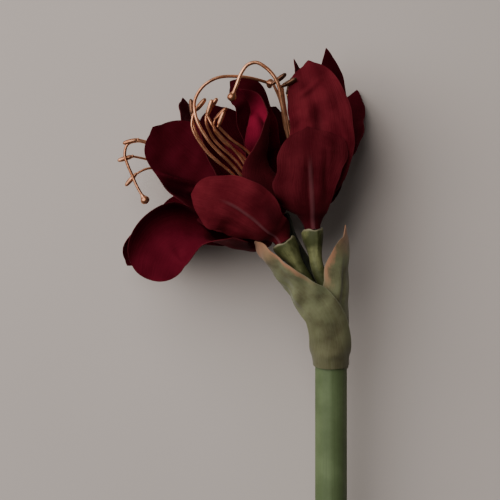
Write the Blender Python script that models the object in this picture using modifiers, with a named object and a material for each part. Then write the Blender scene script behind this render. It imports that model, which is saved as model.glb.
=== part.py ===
"""Amaryllis stem laid on a flat surface: a thick scape, two spathe valves, and three blooms on pedicels.

Lengths are metres. Everything is first placed in the flower's own frame: the origin is on the stem's axis
at the foot of the spathe, +Y runs up the stem, +X is to its right, and +Z faces up when it is laid down.
"""

import math
from dataclasses import dataclass

import bmesh
import bpy
import numpy as np
from mathutils import Matrix, Vector

MM = 0.001

# The scape
STEM_RADIUS = 10.4 * MM
STEM_FOOT = -462 * MM
STEM_TOP = 24 * MM
STEM_SIDES = 28
STEM_EDGE = 0.8 * MM

# Laying down: the whole flower turns until the cut end and two tepals touch the surface
LIE_TILT = math.radians(4.52)
LIE_ROLL = math.radians(6.95)
LIE_SHIFT = (60.69 * MM, 124.61 * MM, 46.39 * MM)

GAP = 0.3 * MM
SPECK = 0.01 * MM

# Blades: how finely the sheets of the tepals and the spathe are cut
SHEET = 0.9 * MM
BLADE_ROWS = 11
SPINE_STEPS = 48
CURVE_SAMPLES = 40
COLUMN_CROWDING = 1.25

# Blades: the lower share of the rows widens from the root, the rest rounds off to a small point
LOWER_SHARE = 0.5
BLUNT = 0.6
POINT_SHARPNESS = 10

# Blades: the midrib's ridge and the waved edges, with the shares where they fade
RIB_HEIGHT = 0.9 * MM
RIB_WIDTH = 2.2 * MM
RIB_FADES = (0.55, 0.8)
WAVES = 2.5
WAVE_LAG = 2.1
WAVE_GROWS = (0.2, 0.6)

# The heart of a bloom, that the tepals stand in
CORE_LENGTH = 9 * MM
CORE_SIDES = 12

# Pedicels: a stalk, then rings at shares of the receptacle's length below its top, in times its radius
PEDICEL_RADIUS = 4.2 * MM
PEDICEL_RING = 5.9 * MM
PEDICEL_RISE = 5 * MM
PEDICEL_POINTS = 10
RECEPTACLE = 20 * MM
RECEPTACLE_RINGS = ((0.6, 1.12), (0.3, 1.4), (0.04, 1.81), (0, 1.71))

# Stamens: a wire, then rings at millimetres past its end, in times its radius
FILAMENT_RADIUS = 0.8 * MM
FILAMENT_STEP = 12 * MM
FILAMENT_INSET = 0.8 * MM
STAMEN_CORE = 3 * MM
STAMEN_CORE_RADII = (2.4 * MM, 2 * MM)
ANTHER_RINGS = ((1.5, 1.3), (3.5, 1.75), (8.0, 1.75), (10.5, 0.8))
KNOB_RINGS = ((0.8, 2.0), (2.4, 2.9), (4.0, 2.0), (4.8, 0.8))


@dataclass
class Growth:
    """Where blades grow from: a point in millimetres and the axis that they stand round."""

    base: tuple
    axis: tuple

    def frame(self):
        axis = np.array(self.axis, float)
        return np.array(self.base, float) * MM, axis / np.linalg.norm(axis)


@dataclass
class Crease:
    """A fold in a blade from start to end, each (mm from the midrib, share of the length), raised by height mm."""

    start: tuple
    end: tuple
    height: float
    width: float = 2.5


@dataclass
class Blade:
    """A tepal or a spathe valve, whose midrib runs from its root ring through its path's points, in mm.

    faces are the ways that the inner side looks in, at even steps from just above the root to the tip.
    cup is the angle in degrees that the full width turns through, at even steps from root to tip.
    opens is the share where the curl of the root has gone. sides fits the width of each edge by a factor,
    at even steps from root to tip.
    """

    path: tuple
    faces: tuple
    width: float = 46
    cup: tuple = (90, 60, 30, 10)
    root_radius: float = 3.6
    root_width: float = 8
    neck: float = 12
    flare: float = 1.5
    widest: float = 0.56
    widening: float = 1.2
    opens: float = 0.22
    sides: tuple = ((1, 1), (1, 1))
    point: float = 2
    point_width: float = 0.2
    wave: float = 1.6
    phase: float = 0
    rib: float = 1
    creases: tuple = ()
    columns: int = 6


@dataclass
class Filament:
    """A stamen, or the style if it ends in a knob. anther is the way that its far end points."""

    path: tuple
    anther: tuple = (0, 1, 0)
    knob: bool = False


@dataclass
class Bloom:
    """Six tepals and seven filaments on a stalk.

    girth is how much its receptacle swells, as a factor, and heart is the radius of its core in mm.
    """

    growth: Growth
    foot_turn: float
    tepals: tuple
    filaments: tuple
    girth: float = 1
    heart: float = 5.6


BLOOMS = {
    "left": Bloom(
        Growth(base=(-31, 82, 8), axis=(-0.5, 0.85, 0)),
        foot_turn=-65,
        girth=1.45,
        tepals=(
            Blade(
                path=((-41, 88, 18), (-52, 99, 25), (-64, 107.5, 29), (-77, 110.5, 30), (-90, 109, 26)),
                faces=((0.3, 0.1, -1), (0.3, 0, -1), (0.3, -0.1, -1), (0.5, -0.1, -1)),
                width=46, cup=(130, 80, 70, 60), root_radius=5.2, root_width=14, neck=5, flare=0.6,
                widest=0.45, widening=0.85, opens=0.12, phase=0.5,
                sides=((0.7, 0.6, 0.8, 0.95, 0.95, 0.85), (1.3, 0.84, 0.97, 0.9, 0.66, 0.62)),
            ),
            Blade(
                path=((-45, 98, -4), (-68, 116, -12), (-95, 134.5, -18), (-117, 158, -16)),
                faces=((0.3, -0.1, 1), (0.55, -0.25, 1), (0.5, -0.25, 1)),
                width=56, sides=((0.9, 0.9, 0.9, 1.05, 1.0, 1.0), (1, 1.2, 1.14, 0.86, 0.78, 0.95)),
                phase=2.0,
            ),
            Blade(
                path=(
                    (-37, 103, 16), (-44, 127, 15), (-41.5, 147, 12), (-40.5, 163, 8), (-45, 173.5, 6),
                    (-60, 181, 3),
                ),
                faces=(
                    (-0.6, 0.1, -0.8), (-0.6, 0.1, -0.8), (-0.9, 0.1, 0.1), (-0.9, 0, 0.42),
                    (-0.3, -0.8, 0.5),
                ),
                width=33, cup=(90, 90, 80, 140, 150, 120), phase=3.5, neck=10,
                sides=((1, 1, 1, 1, 0.6, 0.4), (0.7, 0.6, 0.85, 1, 0.6, 0.4)),
            ),
            Blade(
                path=((-49, 77, 2), (-67, 79, 2), (-86, 86, 6), (-105, 81, 10), (-116.5, 57, 8)),
                faces=(
                    (0, 1, -0.2), (0, 1, -0.1), (0, 1, 0), (0, 0.9, 0.4), (-0.1, 0.3, 0.95), (-0.2, 0.1, 1),
                    (-0.1, 0, 1),
                ),
                width=50, cup=(90, 60, 60, 50), point=0, phase=1.0,
                sides=((1, 1, 0.85, 0.8, 0.92, 1), (1, 1, 1.02, 0.8, 0.88, 1)),
                creases=(Crease((-30, 0.3), (-30, 0.95), 13, 12),),
            ),
            Blade(
                path=((-45, 106, -8), (-58, 133, -15), (-69, 155, -21), (-77, 173, -26)),
                faces=((0.3, -0.1, 0.9), (0.6, -0.3, 0.8), (0.5, -0.3, 0.8)),
                sides=((1, 0.6, 0.75, 0.9, 1, 1), (1, 1)), phase=5.0,
            ),
            Blade(
                path=((-38, 107, -6), (-46, 136, -12), (-50, 161, -14), (-55, 178, -14), (-66, 188, -14)),
                faces=((0.3, -0.1, 0.9), (0.6, -0.2, 0.8), (0.5, -0.4, 0.8)),
                width=34, sides=((1, 1), (1, 0.9, 0.8, 0.7, 0.85, 1)), phase=4.2,
            ),
        ),
        filaments=(
            Filament(
                path=((-45, 106, 2), (-63, 127, 6), (-81, 143, 10), (-90, 159, 12), (-88, 166, 12)),
                anther=(0.6, 0.7, 0),
            ),
            Filament(
                path=((-44, 107, 0), (-60, 132, 6), (-79, 151, 10), (-81, 160, 10), (-80, 166, 10)),
                anther=(0.6, 0.8, 0),
            ),
            Filament(
                path=((-44, 107, 4), (-59, 134, 10), (-78, 158, 14), (-80, 163, 14)),
                anther=(0.3, 1, 0.1),
            ),
            Filament(
                path=((-43, 108, 0), (-57, 137, 4), (-72, 149, 8), (-76, 155, 8), (-75, 161, 8)),
                anther=(0.7, 0.7, 0),
            ),
            Filament(
                path=((-42, 108, 2), (-55, 138, 8), (-66, 148, 12), (-73, 156, 14)),
                anther=(0.4, 1, 0.2),
            ),
            Filament(
                path=((-46, 106, 0), (-62, 129, 0), (-82, 147, 2), (-88, 158, 4), (-89, 165, 4)),
                anther=(-0.1, 1, 0),
            ),
            Filament(
                path=(
                    (-45, 106, 6), (-62, 130, 12), (-81, 150, 16), (-87, 162, 17), (-88, 172, 16),
                    (-83, 181, 16), (-76, 186, 15), (-58, 188, 12), (-44, 186, 8),
                ),
                knob=True,
            ),
        ),
    ),
    "right": Bloom(
        Growth(base=(-12, 90, 4), axis=(-0.1, 0.99, 0)),
        foot_turn=50,
        tepals=(
            Blade(
                path=((-12.5, 102, 15), (-13.5, 114, 22), (-14.5, 128, 26), (-15, 142, 26), (-16, 155, 22)),
                faces=((0, 0.1, -1), (-0.1, 0, -1), (-0.1, 0, -1), (-0.1, -0.1, -1)),
                width=48, cup=(130, 60, 40, 40), root_radius=5, root_width=13, neck=5, flare=0.6,
                widening=0.85, opens=0.16, phase=0.2,
                sides=((1, 1.15, 1, 0.9, 0.86, 0.8), (0.8, 0.62, 0.72, 0.92, 1.1, 1.25)),
            ),
            Blade(
                path=((-10, 107, 10), (-7, 130, 18), (-7, 157, 20), (-10, 179, 15), (-15, 199, 6)),
                faces=((0, 0, -1), (0, 0, -1), (0, -0.1, -1)),
                width=42, sides=((1, 1), (1, 1, 1, 1, 0.85, 0.8)), phase=1.9,
            ),
            Blade(
                path=((-6, 107, -8), (1, 131, -28), (10, 157, -44), (21, 187, -58.3)),
                faces=((-0.6, 0, 0.8), (-0.6, 0, 0.8), (-0.6, 0, 0.8)),
                width=37, sides=((1, 0.85, 0.82, 1.2, 0.95, 1), (1, 1)), point=7, point_width=0.5,
                phase=3.1,
            ),
            Blade(
                path=((-9, 110, -8), (-2, 142, -15), (1, 176, -20), (-2, 211, -22)),
                faces=((0.4, 0, 1), (0.6, 0, 0.9), (0.6, 0, 0.9)),
                width=38, sides=((1, 1, 0.85, 0.7, 0.75, 1.3), (1, 1, 1, 0.9, 0.8, 0.7)),
                point=10, point_width=0.5, phase=0.9,
            ),
            Blade(
                path=((-13, 112, -10), (-14, 143, -20), (-16, 173, -26), (-23, 204, -24)),
                faces=((0.7, 0, 0.7), (0.9, 0.1, 0.4), (0.9, 0.1, 0.4)),
                width=36, point=6, phase=4.4,
            ),
            Blade(
                path=((-19, 106, -14), (-27, 132, -30), (-33, 158, -42), (-35, 175, -56)),
                faces=((0.4, 0, 0.9), (0.4, -0.1, 0.9), (0.5, 0, 0.8)),
                width=40, sides=((1, 1), (1, 0.7, 0.75, 0.85, 1, 1)), phase=2.4,
            ),
        ),
        filaments=(
            Filament(
                path=((-18, 112, 2), (-24, 138, 3), (-30, 156, 6), (-33, 172, 13), (-38, 183, 18)),
                anther=(0.8, 0.6, 0),
            ),
            Filament(
                path=((-17, 112, 3), (-23, 138, 2), (-29, 158, 5), (-33, 182, 12)),
                anther=(0.8, 0.4, 0.2),
            ),
            Filament(
                path=((-17, 112, 1), (-22, 138, 1), (-27, 158, 4), (-31, 178, 8)),
                anther=(0.3, 0.9, 0.1),
            ),
            Filament(
                path=((-18, 112, 0), (-24, 138, 0), (-26, 158, 1), (-29, 170, 3)),
                anther=(0.1, 0.9, 0.1),
            ),
            Filament(
                path=((-16, 112, 3), (-22, 138, 5), (-29, 158, 7), (-32, 170, 8)),
                anther=(0.1, 0.9, 0.1),
            ),
            Filament(
                path=((-17, 112, 1), (-26, 138, 0), (-31, 156, 2), (-34, 172, 6)),
                anther=(0.1, 0.9, 0.1),
            ),
            Filament(
                path=(
                    (-19, 112, 4), (-26, 140, 8), (-32, 170, 19), (-36, 185, 22), (-43, 193, 22),
                    (-49, 196, 22), (-54, 194.5, 22), (-58, 189.5, 22), (-61, 182, 21), (-63, 177, 20),
                ),
                knob=True,
            ),
        ),
    ),
    "back": Bloom(
        Growth(base=(-33, 98, -20), axis=(-0.45, 0.85, -0.25)),
        foot_turn=180,
        heart=4.9,
        tepals=(
            Blade(
                path=((-47, 96, -28), (-76, 95, -39), (-107, 89, -46), (-125, 80, -46), (-136, 66, -44)),
                faces=((0, -0.5, 0.5), (0, 0.1, 0.8), (0.3, -0.1, 1), (0.3, -0.1, 1)),
                width=38, cup=(90, 120, 150, 150, 120), phase=0.7, neck=8,
            ),
            Blade(
                path=((-37, 119, -31), (-64, 137, -44), (-90, 157, -52), (-99, 181, -54)),
                faces=((0, -1, -0.3), (0.4, -0.8, 0), (0.8, 0.3, 0.35)),
                width=38.6, point=2, phase=2.2, neck=8,
            ),
            Blade(
                path=((-47, 114, -42), (-74, 128, -54), (-100, 138, -60), (-121, 142, -60)),
                faces=((0, -0.5, 1), (0, -0.3, 1), (0, 0, 1)),
                width=42, phase=3.3, neck=8,
            ),
            Blade(
                path=((-49, 104, -44), (-76, 102, -58), (-98, 98, -62), (-117, 92, -58)),
                faces=((0, 0.3, 1), (0, 0.3, 1), (0, 0, 1)),
                width=40, phase=1.3, neck=8,
            ),
            Blade(
                path=((-47, 98, -38), (-74, 95, -50), (-98, 88, -56), (-116, 76, -56)),
                faces=((0, 1, 0.5), (0, 1, 0.8), (0, 0.3, 1)),
                width=36, phase=4.1, neck=8,
            ),
            Blade(
                path=((-46, 112, -19), (-76, 125, -29), (-102, 133, -33), (-118, 133, -30)),
                faces=((0, 0, -1), (0, 0, -1), (0, 0, -1)),
                width=38, phase=5.2, neck=8,
            ),
        ),
        filaments=(
            Filament(
                path=(
                    (-44, 113, -28), (-80, 124, -42), (-105, 138, -42),
                    (-120, 149, -38), (-128, 151, -36),
                ),
                anther=(-0.8, -0.2, 0),
            ),
            Filament(
                path=(
                    (-44, 112, -28), (-80, 120, -42), (-105, 132, -44),
                    (-122, 138, -42), (-132, 140, -40),
                ),
                anther=(-1, -0.3, 0),
            ),
            Filament(
                path=(
                    (-44, 112, -27), (-80, 118, -44), (-105, 128, -46),
                    (-122, 132, -44), (-130, 128, -42),
                ),
                anther=(-0.7, -0.8, 0),
            ),
            Filament(path=((-44, 111, -27), (-80, 116, -46), (-100, 120, -48)), anther=(-0.8, 0.5, 0)),
            Filament(path=((-44, 111, -27), (-80, 116, -42), (-98, 116, -44)), anther=(-0.8, 0.5, 0)),
            Filament(path=((-44, 112, -26), (-80, 122, -39), (-104, 130, -40)), anther=(-0.8, 0.5, 0)),
            Filament(
                path=(
                    (-44, 113, -27), (-80, 125, -40), (-105, 139, -40), (-118, 147, -38),
                    (-129, 150, -36), (-135, 148, -36), (-137, 141, -36), (-135, 134, -36),
                    (-132, 127, -36), (-129, 120, -36), (-125, 113, -36),
                ),
                knob=True,
            ),
        ),
    ),
}

SPATHE = Growth(base=(0, 0, 0), axis=(0, 1, 0))
VALVES = {
    "left": Blade(
        path=((-1, 20, 13.2), (-6, 36, 15), (-20, 51, 14.6), (-36, 64, 12), (-50, 77, 10)),
        faces=((0, 0, -1), (0.2, 0.3, -1), (0.6, 0.7, -0.6), (0.6, 0.7, -0.4)),
        width=28, cup=(120, 80, 78, 105, 90), root_radius=12.6, root_width=44, neck=8, flare=0.4,
        widest=0.3, point=1, wave=0.5, rib=0, columns=12,
    ),
    "right": Blade(
        path=((10.5, 30, 4.1), (10.8, 58, 4.2), (10.6, 78, 4.2), (9, 93, 4)),
        faces=((-1, 0, -0.39), (-1, 0, -0.39), (-1, 0, -0.39)),
        width=42, cup=(212, 214, 190, 130), root_radius=11.2, root_width=38, neck=10, flare=0,
        widest=0.4, point=7, wave=0.3, rib=0, columns=12,
    ),
}


def keyed(keys, share):
    """The smooth curve through evenly spaced keys, numbers or points, read at shares from 0 to 1."""
    keys = np.array(keys, float)
    keys = np.concatenate([2 * keys[:1] - keys[1:2], keys, 2 * keys[-1:] - keys[-2:-1]])
    place = np.clip(share, 0, 1) * (len(keys) - 3)
    first = np.minimum(place.astype(int), len(keys) - 4)
    f = (place - first).reshape((-1,) + (1,) * (keys.ndim - 1))
    a, b, c, d = (keys[first + i] for i in range(4))
    return b + 0.5 * f * (c - a + f * (2 * a - 5 * b + 4 * c - d + f * (3 * (b - c) + d - a)))


def hermite(start, start_way, end, end_way):
    """Points on a smooth curve that leaves start and reaches end in the given ways."""
    t = np.linspace(0, 1, CURVE_SAMPLES)[:, None]
    return (
        (2 * t**3 - 3 * t**2 + 1) * start + (t**3 - 2 * t**2 + t) * start_way
        + (3 * t**2 - 2 * t**3) * end + (t**3 - t**2) * end_way
    )


def even_curve(points, count):
    """A smooth curve through the points, as evenly spaced samples of it."""
    points = np.array(points, float)
    chords = np.linalg.norm(np.diff(points, axis=0), axis=1)
    slopes = np.diff(points, axis=0) / chords[:, None]
    both = (chords[1:] + chords[:-1])[:, None]
    middle = (slopes[:-1] * chords[1:, None] + slopes[1:] * chords[:-1, None]) / both
    first, last = 1.5 * slopes[:1] - 0.5 * middle[:1], 1.5 * slopes[-1:] - 0.5 * middle[-1:]
    ways = np.concatenate([first, middle, last])
    dense = np.concatenate([
        hermite(points[i], ways[i] * chord, points[i + 1], ways[i + 1] * chord)
        for i, chord in enumerate(chords)
    ])
    run = np.concatenate([[0], np.cumsum(np.linalg.norm(np.diff(dense, axis=0), axis=1))])
    even = np.linspace(0, run[-1], count)
    return np.stack([np.interp(even, run, dense[:, i]) for i in range(3)], axis=1)


def ramp(share, start, end):
    return np.clip((share - start) / (end - start), 0, 1)


def unit(vectors):
    """Each row, one long."""
    return vectors / np.linalg.norm(vectors, axis=1)[:, None]


def outward(growth, point):
    """The way from the growth's axis to a point."""
    base, axis = growth.frame()
    offset = np.array(point) * MM - base
    offset = offset - (offset @ axis) * axis
    return offset / np.linalg.norm(offset)


def spine(growth, blade):
    """The midrib of a blade, its length, and the ways across the blade and out of its inner face."""
    base, axis = growth.frame()
    out = outward(growth, blade.path[0])
    root = base + out * blade.root_radius * MM
    neck = base + axis * blade.neck * MM + out * (blade.root_radius + blade.flare) * MM
    points = even_curve(np.concatenate([[root, neck], np.array(blade.path) * MM]), SPINE_STEPS + 1)
    share = np.linspace(0, 1, SPINE_STEPS + 1)
    along = unit(np.gradient(points, axis=0))
    faces = np.array([-out, *(np.array(face) / np.linalg.norm(face) for face in blade.faces)])
    face = keyed(faces, share)
    face = unit(face - (face * along).sum(1)[:, None] * along)
    length = np.linalg.norm(np.diff(points, axis=0), axis=1).sum()
    return points, length, np.cross(face, along), face


def read_at(table, share):
    """Rows of a table along the spine, read at shares from 0 to 1."""
    even = np.linspace(0, 1, len(table))
    return np.stack([np.interp(share, even, table[:, i]) for i in range(3)], axis=1)


def flat_pattern(blade, length, u, v):
    """A blade's flat cut: u runs from edge to edge, -1 to 1, and v from root to tip, 0 to 1.

    The lower part widens from the root. The upper part is half an ellipse with a small point at its tip.
    """
    half, foot = blade.width / 2 * MM, blade.root_width / 2 * MM
    low = ramp(v, 0, LOWER_SHARE)
    high = ramp(v, LOWER_SHARE, 1)
    widening = foot + (half - foot) * np.sin(math.pi / 2 * low) ** blade.widening
    side = u * np.sqrt(1 - high**2 / 2)
    rise = (high * np.sqrt(1 - u**2 / 2)) ** BLUNT
    tip = 1 - blade.point * MM / length
    share = tip * (blade.widest * low + (1 - blade.widest) * rise)
    x = side * np.where(high > 0, half, widening)
    x = x * np.where(u > 0, keyed(blade.sides[1], share), keyed(blade.sides[0], share))
    return x, share + (1 - tip) * (1 - ramp(np.abs(side), 0, blade.point_width)) * rise**POINT_SHARPNESS


def crease_lift(crease, x, y, length):
    """How far a fold raises the cloth at x, y, which are metres from the midrib and from the root."""
    start = np.array((crease.start[0] * MM, crease.start[1] * length))
    end = np.array((crease.end[0] * MM, crease.end[1] * length))
    line = end - start
    t = np.clip(((x - start[0]) * line[0] + (y - start[1]) * line[1]) / (line @ line), 0, 1)
    away = np.hypot(x - start[0] - t * line[0], y - start[1] - t * line[1])
    fade = np.sin(math.pi * (0.12 + 0.76 * t))
    return crease.height * MM * fade * np.exp(-((away / (crease.width * MM)) ** 2))


def blade_points(growth, blade, u, v):
    """The shaped blade: its flat cut laid along the midrib, cupped, ribbed, waved and creased."""
    points, length, across, face = spine(growth, blade)
    x, share = flat_pattern(blade, length, u, v)
    free = ramp(share, 0, blade.opens)
    free = free**2 * (3 - 2 * free)
    cupped = np.radians(keyed(blade.cup, share)) / (blade.width * MM)
    curl = (1 - free) / (blade.root_radius * MM) + free * cupped
    angle = x * curl
    across_by = x * np.sinc(angle / math.pi)
    lift = x * np.sin(angle / 2) * np.sinc(angle / 2 / math.pi)
    edge = ramp(np.abs(x), 0, blade.width / 2 * MM)
    swing = np.sin(2 * math.pi * WAVES * share + blade.phase + WAVE_LAG * (x > 0))
    lift = lift + blade.wave * MM * edge**2 * swing * ramp(share, *WAVE_GROWS)
    lift = lift - blade.rib * RIB_HEIGHT * np.exp(-((x / RIB_WIDTH) ** 2)) * (1 - ramp(share, *RIB_FADES))
    for crease in blade.creases:
        lift = lift + crease_lift(crease, x, share * length, length)
    sideways, up = read_at(across, share), read_at(face, share)
    return read_at(points, share) + across_by[:, None] * sideways + lift[:, None] * up


def link(obj, collection):
    collection.objects.link(obj)
    return obj


def blade_object(name, growth, blade, collection):
    """A grid bent into the blade and cut into triangles, so that both faces of the thick sheet match."""
    work = bmesh.new()
    bmesh.ops.create_grid(work, x_segments=blade.columns, y_segments=BLADE_ROWS, size=1)
    flat = np.array([vert.co for vert in work.verts])
    u = np.sign(flat[:, 0]) * np.abs(flat[:, 0]) ** COLUMN_CROWDING
    for vert, point in zip(work.verts, blade_points(growth, blade, u, (flat[:, 1] + 1) / 2)):
        vert.co = point
    bmesh.ops.triangulate(work, faces=work.faces)
    mesh = bpy.data.meshes.new(name)
    work.to_mesh(mesh)
    work.free()
    obj = link(bpy.data.objects.new(name, mesh), collection)
    thick = obj.modifiers.new("thickness", "SOLIDIFY")
    thick.thickness = SHEET
    thick.offset = 0
    return obj


def tube_object(name, points, radius, scales, collection, resolution=1):
    """A wire along the points, as a mesh with welded caps. scales makes it thicker at some points."""
    curve = bpy.data.curves.new(name, "CURVE")
    curve.dimensions = "3D"
    curve.bevel_depth = radius
    curve.bevel_resolution = resolution
    curve.use_fill_caps = True
    line = curve.splines.new("POLY")
    line.points.add(len(points) - 1)
    for knot, point, scale in zip(line.points, points, scales):
        knot.co = (*point, 1)
        knot.radius = scale
    wire = link(bpy.data.objects.new(name + "_wire", curve), collection)
    bpy.context.view_layer.update()
    mesh = bpy.data.meshes.new_from_object(wire.evaluated_get(bpy.context.evaluated_depsgraph_get()))
    bpy.data.objects.remove(wire)
    work = bmesh.new()
    work.from_mesh(mesh)
    bmesh.ops.remove_doubles(work, verts=work.verts, dist=1e-6)
    bmesh.ops.recalc_face_normals(work, faces=work.faces)
    work.to_mesh(mesh)
    work.free()
    return link(bpy.data.objects.new(name, mesh), collection)


def largest_body(mesh):
    """Keeps the outer body: loose scraps and the walls of hollows that the joining sealed are dropped."""
    work = bmesh.new()
    work.from_mesh(mesh)
    left = set(work.faces)
    bodies = []
    while left:
        body = [left.pop()]
        for face in body:
            near = {other for edge in face.edges for other in edge.link_faces} & left
            left -= near
            body.extend(near)
        bodies.append(body)
    for body in sorted(bodies, key=len)[:-1]:
        bmesh.ops.delete(work, geom=body, context="FACES")
    bmesh.ops.dissolve_degenerate(work, edges=work.edges, dist=SPECK)
    bmesh.ops.triangulate(work, faces=work.faces)
    work.to_mesh(mesh)
    work.free()


def fused(name, core, pieces, collection):
    """One body of the core and every piece in the collection of pieces, which is then emptied."""
    join = core.modifiers.new("join", "BOOLEAN")
    join.operation = "UNION"
    join.operand_type = "COLLECTION"
    join.collection = pieces
    join.solver = "MANIFOLD"
    bpy.context.view_layer.update()
    mesh = bpy.data.meshes.new_from_object(core.evaluated_get(bpy.context.evaluated_depsgraph_get()))
    for piece in [core, *pieces.objects]:
        bpy.data.objects.remove(piece)
    bpy.data.collections.remove(pieces)
    largest_body(mesh)
    mesh.name = name
    return link(bpy.data.objects.new(name, mesh), collection)


def helper_collection(name):
    made = bpy.data.collections.new(name)
    bpy.context.scene.collection.children.link(made)
    return made


def material(name, colour, roughness, metallic=0.0):
    made = bpy.data.materials.new(name)
    made.use_nodes = True
    shader = made.node_tree.nodes["Principled BSDF"]
    shader.inputs["Base Color"].default_value = (*colour, 1)
    shader.inputs["Roughness"].default_value = roughness
    shader.inputs["Metallic"].default_value = metallic
    return made


def turned_to(direction):
    return Vector(direction).to_track_quat("Z", "Y")


def plug(name, growth, low, high, low_radius, high_radius, collection):
    """A short cone round the growth's axis, from low to high along it."""
    base, axis = growth.frame()
    work = bmesh.new()
    bmesh.ops.create_cone(
        work, cap_ends=True, segments=CORE_SIDES, radius1=low_radius, radius2=high_radius, depth=high - low
    )
    middle = Matrix.Translation(Vector(base + axis * (low + high) / 2))
    place = middle @ turned_to(axis).to_matrix().to_4x4()
    bmesh.ops.transform(work, matrix=place, verts=work.verts)
    mesh = bpy.data.meshes.new(name)
    work.to_mesh(mesh)
    work.free()
    return link(bpy.data.objects.new(name, mesh), collection)


def tepals(name, bloom, collection):
    pieces = helper_collection(name + "_pieces")
    scene = bpy.context.scene.collection
    core = plug(name + "_core", bloom.growth, 0, CORE_LENGTH, bloom.heart * MM, bloom.heart * MM, scene)
    for number, blade in enumerate(bloom.tepals):
        blade_object(f"{name}_{number}", bloom.growth, blade, pieces)
    return fused(name, core, pieces, collection)


def filament_object(name, growth, filament, collection):
    base, axis = growth.frame()
    start = base + axis * (CORE_LENGTH + MM) + outward(growth, filament.path[0]) * FILAMENT_INSET
    route = np.concatenate([[start], np.array(filament.path) * MM])
    length = np.linalg.norm(np.diff(route, axis=0), axis=1).sum()
    points = even_curve(route, math.ceil(length / FILAMENT_STEP) + 1)
    if filament.knob:
        way, rings = unit(points[-1:] - points[-2:-1])[0], KNOB_RINGS
    else:
        way, rings = np.array(filament.anther) / np.linalg.norm(filament.anther), ANTHER_RINGS
    ends = [points[-1] + way * run * MM for run, _ in rings]
    scales = [1.0] * len(points) + [scale for _, scale in rings]
    return tube_object(name, np.concatenate([points, ends]), FILAMENT_RADIUS, scales, collection)


def stamens(name, bloom, collection):
    pieces = helper_collection(name + "_pieces")
    low, high = CORE_LENGTH + GAP, CORE_LENGTH + STAMEN_CORE
    core = plug(name + "_core", bloom.growth, low, high, *STAMEN_CORE_RADII, bpy.context.scene.collection)
    for number, filament in enumerate(bloom.filaments):
        filament_object(f"{name}_{number}", bloom.growth, filament, pieces)
    return fused(name, core, pieces, collection)


def pedicel(name, bloom, collection):
    """A short stalk from the scape's top, widening into the receptacle that the tepals stand on."""
    base, axis = bloom.growth.frame()
    turn = math.radians(bloom.foot_turn)
    start = np.array((PEDICEL_RING * math.sin(turn), STEM_TOP + GAP, PEDICEL_RING * math.cos(turn)))
    top = base - axis * GAP
    foot = top - axis * RECEPTACLE
    route = [start, start + (0, PEDICEL_RISE, 0), foot, foot + axis * PEDICEL_RADIUS]
    stalk = even_curve(route, PEDICEL_POINTS)
    swell = [top - axis * RECEPTACLE * share for share, _ in RECEPTACLE_RINGS]
    scales = [1.0] * len(stalk) + [1 + bloom.girth * (scale - 1) for _, scale in RECEPTACLE_RINGS]
    points = np.concatenate([stalk, swell])
    return tube_object(name, points, PEDICEL_RADIUS, scales, collection, resolution=4)


def scape(name, collection):
    """The thick stalk, cut off square at its foot."""
    work = bmesh.new()
    bmesh.ops.create_cone(
        work, cap_ends=True, segments=STEM_SIDES, radius1=STEM_RADIUS, radius2=STEM_RADIUS,
        depth=STEM_TOP - STEM_FOOT,
    )
    middle = Matrix.Translation((0, (STEM_TOP + STEM_FOOT) / 2, 0))
    place = middle @ turned_to(SPATHE.axis).to_matrix().to_4x4()
    bmesh.ops.transform(work, matrix=place, verts=work.verts)
    mesh = bpy.data.meshes.new(name)
    work.to_mesh(mesh)
    work.free()
    stalk = link(bpy.data.objects.new(name, mesh), collection)
    eased = stalk.modifiers.new("eased_ends", "BEVEL")
    eased.width = STEM_EDGE
    eased.segments = 1
    return stalk


def build():
    for obj in list(bpy.data.objects):
        bpy.data.objects.remove(obj)
    petal = material("petal_fabric", (0.13, 0.012, 0.022), 0.85)
    copper = material("stamen_copper", (0.42, 0.2, 0.11), 0.55)
    green = material("stem_green", (0.29, 0.3, 0.17), 0.65)
    bract = material("bract_green", (0.36, 0.34, 0.2), 0.7)
    flower = helper_collection("amaryllis_stem")
    made = {}
    for side, bloom in BLOOMS.items():
        made[tepals(f"bloom_{side}", bloom, flower)] = petal
        made[stamens(f"stamens_{side}", bloom, flower)] = copper
        made[pedicel(f"pedicel_{side}", bloom, flower)] = green
    for side, valve in VALVES.items():
        made[blade_object(f"spathe_{side}", SPATHE, valve, flower)] = bract
    made[scape("stem", flower)] = green
    lying = bpy.data.objects.new("lying", None)
    lying.location = LIE_SHIFT
    lying.rotation_euler = (LIE_TILT, LIE_ROLL, 0)
    link(lying, flower)
    for obj, colour in made.items():
        obj.data.materials.clear()
        obj.data.materials.append(colour)
        obj.parent = lying


if __name__ == "__main__":
    build()
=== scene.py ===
import math
from dataclasses import dataclass

import bmesh
import bpy
import numpy as np
from mathutils import Euler, Matrix, Vector


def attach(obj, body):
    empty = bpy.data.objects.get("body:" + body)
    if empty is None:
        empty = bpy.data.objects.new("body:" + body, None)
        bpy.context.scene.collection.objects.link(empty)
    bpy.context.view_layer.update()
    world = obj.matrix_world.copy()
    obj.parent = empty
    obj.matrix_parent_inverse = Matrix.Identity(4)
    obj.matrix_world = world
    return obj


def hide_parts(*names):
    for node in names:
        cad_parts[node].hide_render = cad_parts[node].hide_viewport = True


# An amaryllis stem that lies on a pale floor, seen from above: cloth tepals and spathe, copper stamens,
# and a moulded stalk. Everything is shaped in the flower's own frame: the origin is on the stem's axis at
# the foot of the spathe, +Y runs up the stem, +X is to its right and +Z faces up when it is laid down.

MM = 0.001
RIGHT = (1.0, 0.0, 0.0)
AHEAD = (0.0, 1.0, 0.0)
UP = (0.0, 0.0, 1.0)

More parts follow.
